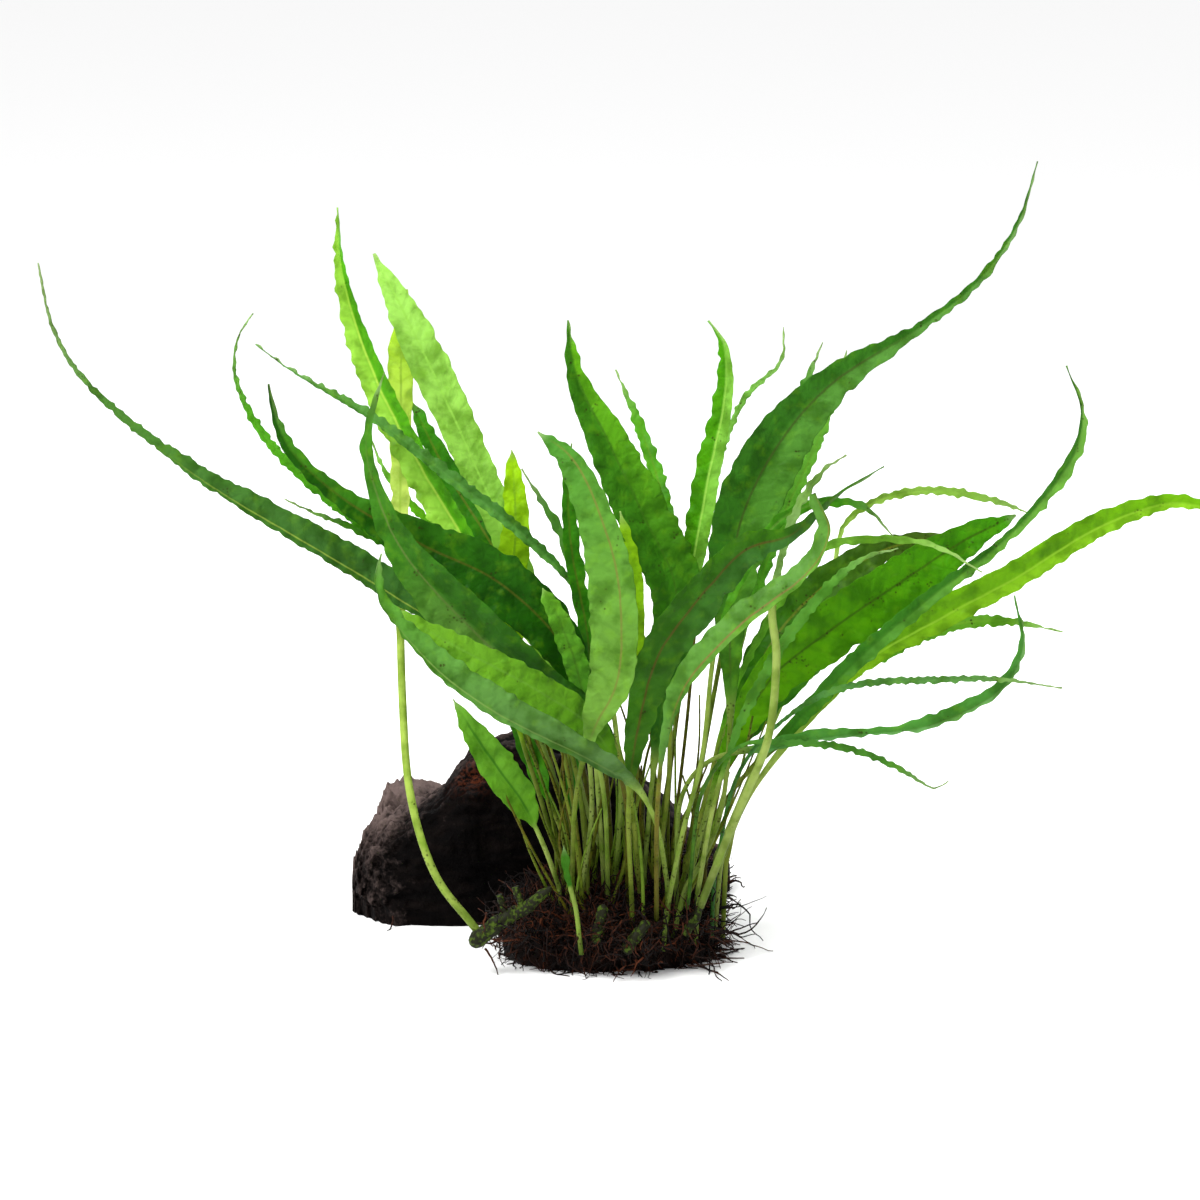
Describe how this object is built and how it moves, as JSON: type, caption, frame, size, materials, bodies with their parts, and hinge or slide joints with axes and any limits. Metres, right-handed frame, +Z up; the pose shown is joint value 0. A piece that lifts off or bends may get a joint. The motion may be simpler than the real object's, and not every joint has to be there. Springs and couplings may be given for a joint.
{
  "type": "java fern on driftwood",
  "caption": "Aquarium fern with long arching fronds rising from a creeping stem and a mat of roots, grown on a piece of dark driftwood that rests on its flat underside.",
  "frame": {"origin": "on the flat underside of the driftwood trunk, near its middle", "axes": "+X across the plant's face to the right, -Y out of its face, +Z up"},
  "size_m": [0.2936, 0.1384, 0.2011],
  "materials": {
    "driftwood": "rough waterlogged wood, nearly black with grey-brown edges",
    "roots": "matted fibrous roots, dark brown to red-brown",
    "rhizome": "scaly olive creeping stem",
    "frond_dark": "satin leaf, dark green",
    "frond_mid": "satin leaf, mid green",
    "frond_bright": "satin leaf, bright yellow-green",
    "frond_grey": "satin leaf, grey-green",
    "frond_pale": "satin stalk, pale green",
    "old_stalk": "dry brown stalk"
  },
  "bodies": {
    "root": {"driftwood_knob": "driftwood", "driftwood_right_end": "driftwood", "driftwood_trunk": "driftwood", "frond_back_broad": "frond_mid", "frond_centre_low": "frond_mid", "frond_centre_pale": "frond_grey", "frond_centre_slim": "frond_dark", "frond_centre_spike": "frond_mid", "frond_centre_tall": "frond_dark", "frond_centre_thread": "frond_mid", "frond_dark_twist": "frond_dark", "frond_far_left": "frond_grey", "frond_front_dark": "frond_dark", "frond_front_fold": "frond_grey", "frond_front_low": "frond_grey", "frond_green_arch": "frond_mid", "frond_left_bright": "frond_bright", "frond_left_broad": "frond_bright", "frond_left_crinkled": "frond_grey", "frond_left_hidden": "frond_mid", "frond_left_hook": "frond_mid", "frond_left_low_sliver": "frond_mid", "frond_left_lower_dark": "frond_dark", "frond_left_sliver": "frond_bright", "frond_left_small": "frond_mid", "frond_left_stalk": "frond_bright", "frond_left_tall": "frond_bright", "frond_left_upper_dark": "frond_dark", "frond_low_curl": "frond_mid", "frond_low_thread": "frond_dark", "frond_mid_broad": "frond_mid", "frond_new_shoot": "frond_mid", "frond_old_stalk": "old_stalk", "frond_pale_arch": "frond_pale", "frond_right_arch": "frond_pale", "frond_right_bright": "frond_bright", "frond_right_long": "frond_dark", "frond_right_narrow": "frond_mid", "frond_right_nub": "frond_mid", "frond_right_shy": "frond_bright", "frond_right_small": "frond_dark", "frond_right_spike": "frond_mid", "frond_right_stalk": "frond_pale", "frond_right_tendril": "frond_mid", "frond_right_thread": "frond_grey", "frond_right_upright": "frond_bright", "frond_small_bright": "frond_mid", "frond_small_inner": "frond_mid", "frond_yellow_short": "frond_bright", "frond_yellow_strip": "frond_bright", "rhizome_front": "rhizome", "rhizome_left": "rhizome", "rhizome_middle": "rhizome", "rhizome_right": "rhizome", "root_mat": "roots"}
  },
  "joints": []
}
